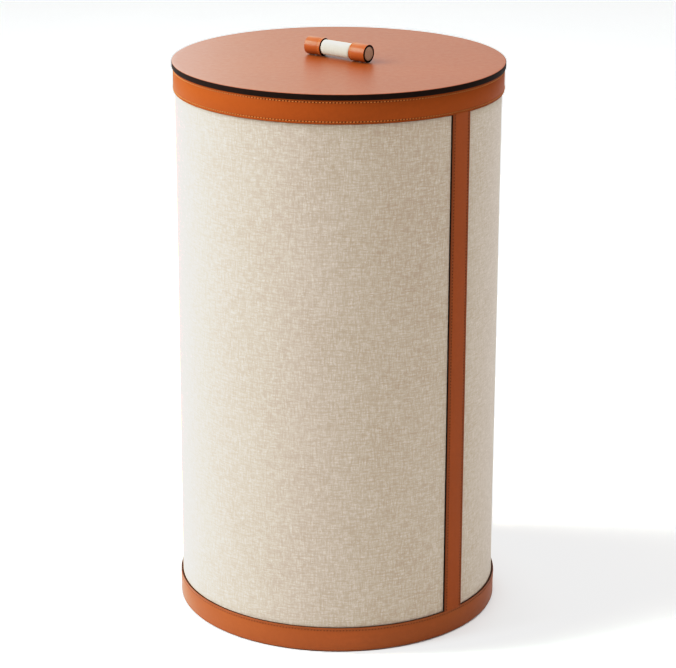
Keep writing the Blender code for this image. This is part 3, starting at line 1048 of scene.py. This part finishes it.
def make_foot_band(sizes):
    """The leather round the foot and under the base, with its burnished top edge and a row of stitches."""
    low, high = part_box("foot_band")
    outer = sizes.band_radius
    row = high.z - sizes.stitch_inset
    wall_outer = sizes.linen_radius + GLUE_GAP
    lip_top = low.z + sizes.band_leather
    corners = [(outer, low.z, sizes.shoulder_round)]
    corners += groove_corners(outer, row, sizes)
    corners += [
        (outer, high.z, sizes.edge_round),
        (wall_outer, high.z, FINE_ROUND),
        (wall_outer, lip_top, 0.0),
        (sizes.foot_lip_radius, lip_top, SOFT_ROUND),
        (sizes.foot_lip_radius, low.z, sizes.edge_round),
    ]
    band = draw_ring("foot_band_leather", rounded_section(corners))
    paint(band, finish(foot_leather), finish(burnished_edge),
          lambda face: face.normal.z > 0.9 and face.center.z > high.z - SOFT_ROUND)
    hand_in(band, "bin", "band_leather", "foot_band")
    sew_groove("foot_stitches", "bin", finish(dark_thread), sizes, outer, row)


def make_felt_pad():
    """The felt pad under the base, its edge rounded."""
    low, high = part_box("base_felt")
    pad = draw_disc("base_felt_pad", high.x, high.z, rings=10)
    thicken(pad, high.z - low.z)
    start_editing(pad, "EDGE")
    pick("edges", lambda edge: is_level(edge) and all(
        vert.co.xy.length > high.x - GLUE_GAP for vert in edge.verts))
    bpy.ops.mesh.bevel(offset=0.0007, segments=3, affect="EDGES")
    point_faces_out()
    finish_editing()
    map_cloth_flat(pad)
    paint(pad, finish(pressed_felt))
    hand_in(pad, "bin", "felt", "base_felt")


def cut_strip(name, sizes, depth, bottom, top, row_place):
    """The strip cut straight, with a groove by each long edge for its stitches and its edges rounded."""
    half = sizes.strip_width / 2
    front = -0.9 * depth
    put_tools_down()
    bpy.ops.mesh.primitive_cube_add(size=1, location=(0, -depth / 2, (bottom + top) / 2))
    bpy.context.object.scale = (sizes.strip_width, depth, top - bottom)
    strip = take_new_piece(name)
    start_editing(strip, "EDGE")
    pick("edges", lambda edge: abs(edge.verts[0].co.x - edge.verts[1].co.x) > half)
    bpy.ops.mesh.subdivide(number_cuts=17)
    for side in (-1, 1):
        for share in (-0.5, -0.25, 0, 0.25, 0.5):
            cut = side * row_place + sizes.groove_width * share
            bpy.ops.mesh.select_all(action="SELECT")
            bpy.ops.mesh.bisect(plane_co=(cut, 0, 0), plane_no=(1, 0, 0))
    bpy.ops.mesh.select_mode(type="VERT")
    for share, part in ((0.0, 1.0), (-0.25, 0.8), (0.25, 0.8)):
        pick("verts", lambda vert: vert.co.y < front and any(
            abs(vert.co.x - side * row_place - share * sizes.groove_width) < 2 * HAIR for side in (-1, 1)))
        bpy.ops.transform.translate(value=(0, sizes.groove_depth * part, 0))
    bpy.ops.mesh.select_mode(type="EDGE")
    pick("edges", lambda edge: all(
        abs(vert.co.x) > half - HAIR and vert.co.y < front for vert in edge.verts))
    bpy.ops.mesh.bevel(offset=sizes.edge_round, segments=4, affect="EDGES")
    point_faces_out()
    finish_editing()
    return strip


def make_seam_strip(sizes):
    """The strip bent round the tube over the linen's seam, with a row of stitches by each edge."""
    low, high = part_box("seam_strip")
    wall = sizes.linen_radius + GLUE_GAP
    outer = sizes.band_radius + 2 * HAIR
    half = sizes.strip_width / 2
    row_place = half - sizes.stitch_inset - FINE_ROUND
    bottom = low.z - sizes.strip_overlap
    top = high.z + sizes.strip_tuck
    strip = cut_strip("seam_strip_leather", sizes, outer - wall, bottom, top, row_place)
    wrap = strip.modifiers.new("wrap", "SIMPLE_DEFORM")
    wrap.deform_method = "BEND"
    wrap.deform_axis = "Z"
    wrap.angle = sizes.strip_width / wall
    apply_modifiers(strip)
    turn = Matrix.Rotation(sizes.strip_bearing, 4, "Z")
    place_in_edit(strip, turn @ Matrix.Translation((0, -wall, 0)))
    edge_angle = (half - GLUE_GAP) / wall
    paint(strip, finish(strip_leather), finish(edge_paint),
          lambda face: abs(bearing_of(face.center) - sizes.strip_bearing) > edge_angle)
    hand_in(strip, "bin", "band_leather", "seam_strip")
    for name, side in (("left", -1), ("right", 1)):
        bearing = sizes.strip_bearing + side * row_place / wall
        radius = outer - sizes.groove_depth + sizes.thread_radius * 0.3
        row = stitch_column(
            "strip_stitches_" + name, sizes, radius, bearing, low.z + ROW_START, high.z - ROW_START)
        paint(row, finish(dark_thread))
        hand_in(row, "bin", "band_leather")


# ---------------------------------------------------------------- lid pieces


def make_lid_top(sizes):
    """The lid's leather with its rounded shoulder."""
    low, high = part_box("lid_leather")
    radius = high.x
    put_tools_down()
    bpy.ops.mesh.primitive_cylinder_add(
        vertices=RING_STEPS, radius=radius, depth=high.z - low.z, location=(0, 0, (low.z + high.z) / 2))
    top = take_new_piece("lid_top_leather")
    start_editing(top)
    border = 0.004
    for side in (-1, 1):
        pick("faces", lambda face: face.normal.z * side > 0.9)
        bpy.ops.mesh.inset(thickness=border)
        inset_to_middle(radius - border, 7)
    bpy.ops.mesh.select_mode(type="EDGE")
    pick("edges", lambda edge: all(
        vert.co.z > high.z - HAIR and vert.co.xy.length > radius - HAIR for vert in edge.verts))
    bpy.ops.mesh.bevel(offset=sizes.lid_shoulder, segments=5, affect="EDGES")
    point_faces_out()
    finish_editing()
    paint(top, finish(lid_leather))
    hand_in(top, "lid", "lid_leather", "lid_leather")


def make_lid_edge(sizes):
    """The painted edge round the lid's layers, reaching a little below them as a painted shadow in the gap
    over the rim band.
    """
    high = node_high("lid_leather")
    lap_and_shadow_drop = 0.0008
    paint_thickness = 0.0003
    inner = high.x - lap_and_shadow_drop
    outer = high.x + paint_thickness
    # Painted shadow: the edge hangs below the lid's lining to darken the gap over the rim band.
    bottom = node_low("lid_lining").z - lap_and_shadow_drop
    top = high.z - sizes.lid_shoulder * 0.35
    rounding = 0.0006
    corners = [(inner, bottom, 0.0), (outer, bottom, rounding), (outer, top, rounding), (inner, top, 0.0)]
    edge = draw_ring("lid_painted_edge", rounded_section(corners))
    paint(edge, finish(edge_paint))
    hand_in(edge, "lid", "lid_leather")


def make_lid_underside(sizes):
    """The lid's lining and the leather facing round the hoop, with its row of stitches."""
    low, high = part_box("lid_lining")
    trim = 0.0004
    lining = draw_disc("lid_lining_cloth", high.x - trim, low.z, rings=12)
    start_editing(lining, selected=True)
    bpy.ops.mesh.normals_make_consistent(inside=True)
    finish_editing()
    thicken(lining, high.z - low.z, inwards=lining.data.polygons[0].normal.z < 0)
    map_cloth_flat(lining)
    paint(lining, finish(lining_linen))
    hand_in(lining, "lid", "lining_linen", "lid_lining")
    low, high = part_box("lid_hoop_facing")
    outer = high.x
    facing_thickness = 0.0010
    inner = outer - facing_thickness
    row = low.z + sizes.stitch_inset
    corners = [(outer, low.z, SOFT_ROUND)]
    corners += groove_corners(outer, row, sizes)
    corners += [(outer, high.z, FINE_ROUND), (inner, high.z, 0.0), (inner, low.z, SOFT_ROUND)]
    facing = draw_ring("hoop_facing_leather", rounded_section(corners))
    paint(facing, finish(band_leather), finish(edge_paint), lambda face: face.normal.z < -0.5)
    hand_in(facing, "lid", "band_leather", "lid_hoop_facing")
    sew_groove("hoop_stitches", "lid", finish(waxed_thread), sizes, outer, row, proud=0.6)


def bar_height():
    """Height of the handle bar's middle."""
    return (node_low("handle_dowel").z + node_high("handle_dowel").z) / 2


def lay_along_bar(piece, sizes):
    """Turn a piece made upright at the origin so that it lies along the handle bar."""
    turn = Matrix.Rotation(sizes.handle_bearing, 4, "Z") @ Matrix.Rotation(math.pi / 2, 4, "Y")
    place_in_edit(piece, Matrix.Translation((0, 0, bar_height())) @ turn)


def make_handle_bar(sizes):
    """The wooden bar, its ends eased."""
    easing = 0.0004
    put_tools_down()
    bpy.ops.mesh.primitive_cylinder_add(
        vertices=BAR_STEPS, radius=sizes.dowel_radius, depth=sizes.handle_length)
    bar = take_new_piece("handle_bar")
    start_editing(bar, "EDGE")
    pick("edges", is_level)
    bpy.ops.mesh.bevel(offset=easing, segments=3, affect="EDGES")
    bpy.ops.mesh.select_mode(type="FACE")
    for side in (-1, 1):
        pick("faces", lambda face: face.normal.z * side > 0.99 and len(face.verts) > 8)
        inset_to_middle(sizes.dowel_radius - easing, 3)
    point_faces_out()
    finish_editing()
    lay_along_bar(bar, sizes)
    paint(bar, finish(dowel_wood))
    hand_in(bar, "lid", "handle_wood", "handle_dowel")


def make_handle_wrap(sizes):
    """The linen wound round the bar between the sleeves."""
    half = sizes.handle_length / 2 - sizes.sleeve_length
    radius = sizes.dowel_radius + FINE_ROUND + sizes.wrap_thickness
    wrap = wrap_cloth(
        "handle_linen_wrap", radius, -half, half, rows=12, slack=0.00012, reach=0.008,
        thickness=sizes.wrap_thickness, steps=BAR_STEPS)
    lay_along_bar(wrap, sizes)
    paint(wrap, finish(wrap_linen))
    hand_in(wrap, "lid", "wrap_linen", "handle_wrap")


def make_handle_sleeve(sizes, name, side):
    """A leather sleeve on one end of the bar, painted at its two ends and stitched round its inner one."""
    outer = sizes.sleeve_radius
    inner = sizes.dowel_radius + FINE_ROUND
    outer_end = side * sizes.handle_length / 2
    inner_end = outer_end - side * sizes.sleeve_length
    row = inner_end + side * 0.0030
    groove_depth = 0.00016
    groove_half = 0.0007
    end_round = 0.0006
    corners = [
        (outer, inner_end, 0.0007),
        (outer, row - side * groove_half, 0.0),
        (outer - groove_depth, row, 0.0),
        (outer, row + side * groove_half, 0.0),
        (outer, outer_end - side * end_round, 0.0),
        (outer, outer_end, end_round),
        (inner, outer_end, FINE_ROUND),
        (inner, inner_end, FINE_ROUND),
    ]
    sleeve = draw_ring("handle_sleeve_leather_" + name, rounded_section(corners), BAR_STEPS)
    paint(sleeve, finish(sleeve_leather), finish(edge_paint), lambda face: (
        abs(face.normal.z) > 0.25 and abs(face.center.z - inner_end) < 0.0006
        or abs(face.normal.z) > 0.45 and abs(face.center.z - outer_end) < 0.0004))
    lay_along_bar(sleeve, sizes)
    hand_in(sleeve, "lid", "band_leather", "handle_sleeve_" + name)
    stitches = stitch_ring("sleeve_stitches_" + name, sizes, outer - 0.0001, row, length=0.0016, count=24)
    paint(stitches, finish(waxed_thread))
    lay_along_bar(stitches, sizes)
    hand_in(stitches, "lid", "band_leather")


def finish_packed_nodes():
    """Board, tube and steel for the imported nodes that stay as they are."""
    finishes = {
        pressed_board: ("base_board", "lid_board", "lid_hoop"),
        wound_tube: ("shell_tube",),
        screw_steel: (
            "handle_washer_left", "handle_washer_right", "handle_screw_left", "handle_screw_right"),
    }
    for make, nodes in finishes.items():
        for node in nodes:
            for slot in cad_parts[node].material_slots:
                slot.material = finish(make)


# ---------------------------------------------------------------- operators


class BIN_OT_studio(bpy.types.Operator):
    """Lay the floor, hang the lights and set up the camera"""

    bl_idname = "storage_bin.studio"
    bl_label = "Studio"

    def execute(self, context):
        studio = context.scene.bin_studio
        grade_tones(context.scene.view_settings)
        light_room(studio)
        hang_lights(studio)
        lay_floor(studio)
        set_up_camera(studio)
        return {"FINISHED"}


class BIN_OT_outer_linen(bpy.types.Operator):
    """Make the linen cover round the tube"""

    bl_idname = "storage_bin.outer_linen"
    bl_label = "Outer Linen"

    def execute(self, context):
        make_outer_linen(context.scene.bin_sizes)
        return {"FINISHED"}


class BIN_OT_lining(bpy.types.Operator):
    """Make the lining's wall and floor"""

    bl_idname = "storage_bin.lining"
    bl_label = "Lining"

    def execute(self, context):
        make_lining(context.scene.bin_sizes)
        return {"FINISHED"}


class BIN_OT_bands(bpy.types.Operator):
    """Make the leather bands at the rim and foot, with their stitches"""

    bl_idname = "storage_bin.bands"
    bl_label = "Rim and Foot Bands"

    def execute(self, context):
        make_rim_band(context.scene.bin_sizes)
        make_foot_band(context.scene.bin_sizes)
        return {"FINISHED"}


class BIN_OT_seam_strip(bpy.types.Operator):
    """Make the leather strip over the linen's seam, with its stitches"""

    bl_idname = "storage_bin.seam_strip"
    bl_label = "Seam Strip"

    def execute(self, context):
        make_seam_strip(context.scene.bin_sizes)
        return {"FINISHED"}


class BIN_OT_felt_pad(bpy.types.Operator):
    """Make the felt pad under the base"""

    bl_idname = "storage_bin.felt_pad"
    bl_label = "Felt Pad"

    def execute(self, context):
        make_felt_pad()
        return {"FINISHED"}


class BIN_OT_lid(bpy.types.Operator):
    """Make the lid's leather, painted edge, lining and hoop facing"""

    bl_idname = "storage_bin.lid"
    bl_label = "Lid"

    def execute(self, context):
        sizes = context.scene.bin_sizes
        make_lid_top(sizes)
        make_lid_edge(sizes)
        make_lid_underside(sizes)
        return {"FINISHED"}


class BIN_OT_handle(bpy.types.Operator):
    """Make the handle's bar, linen wrap and leather sleeves"""

    bl_idname = "storage_bin.handle"
    bl_label = "Handle"

    def execute(self, context):
        sizes = context.scene.bin_sizes
        make_handle_bar(sizes)
        make_handle_wrap(sizes)
        make_handle_sleeve(sizes, "left", -1)
        make_handle_sleeve(sizes, "right", 1)
        return {"FINISHED"}


class BIN_OT_boards_and_screws(bpy.types.Operator):
    """Give the boards, tube, hoop, washers and screws their finishes"""

    bl_idname = "storage_bin.boards_and_screws"
    bl_label = "Boards and Screws"

    def execute(self, context):
        finish_packed_nodes()
        return {"FINISHED"}


OPERATORS = (
    BIN_OT_studio,
    BIN_OT_outer_linen,
    BIN_OT_lining,
    BIN_OT_bands,
    BIN_OT_seam_strip,
    BIN_OT_felt_pad,
    BIN_OT_lid,
    BIN_OT_handle,
    BIN_OT_boards_and_screws,
)


class BIN_PT_panel(bpy.types.Panel):
    """Lists the bin's pieces, sizes and colours"""

    bl_idname = "BIN_PT_panel"
    bl_label = "Storage Bin"
    bl_space_type = "VIEW_3D"
    bl_region_type = "UI"
    bl_category = "Storage Bin"

    def draw(self, context):
        column = self.layout.column(align=True)
        for operator in OPERATORS:
            column.operator(operator.bl_idname)
        for label, group in (
            ("Sizes", context.scene.bin_sizes),
            ("Colours", context.scene.bin_colours),
            ("Studio", context.scene.bin_studio),
        ):
            box = self.layout.box()
            box.label(text=label)
            for name in group.__annotations__:
                box.prop(group, name)


CLASSES = (BinSizes, BinColours, StudioSettings) + OPERATORS + (BIN_PT_panel,)


def register():
    """Register the classes and join the settings to the scene."""
    for item in CLASSES:
        bpy.utils.register_class(item)
    bpy.types.Scene.bin_sizes = bpy.props.PointerProperty(type=BinSizes)
    bpy.types.Scene.bin_colours = bpy.props.PointerProperty(type=BinColours)
    bpy.types.Scene.bin_studio = bpy.props.PointerProperty(type=StudioSettings)


def unregister():
    """Take the settings off the scene and unregister the classes."""
    del bpy.types.Scene.bin_studio
    del bpy.types.Scene.bin_colours
    del bpy.types.Scene.bin_sizes
    for item in reversed(CLASSES):
        bpy.utils.unregister_class(item)


def main():
    """Make the studio and every piece."""
    register()
    for operator in OPERATORS:
        area, name = operator.bl_idname.split(".")
        getattr(getattr(bpy.ops, area), name)()
    put_tools_down()


if __name__ == "__main__":
    main()
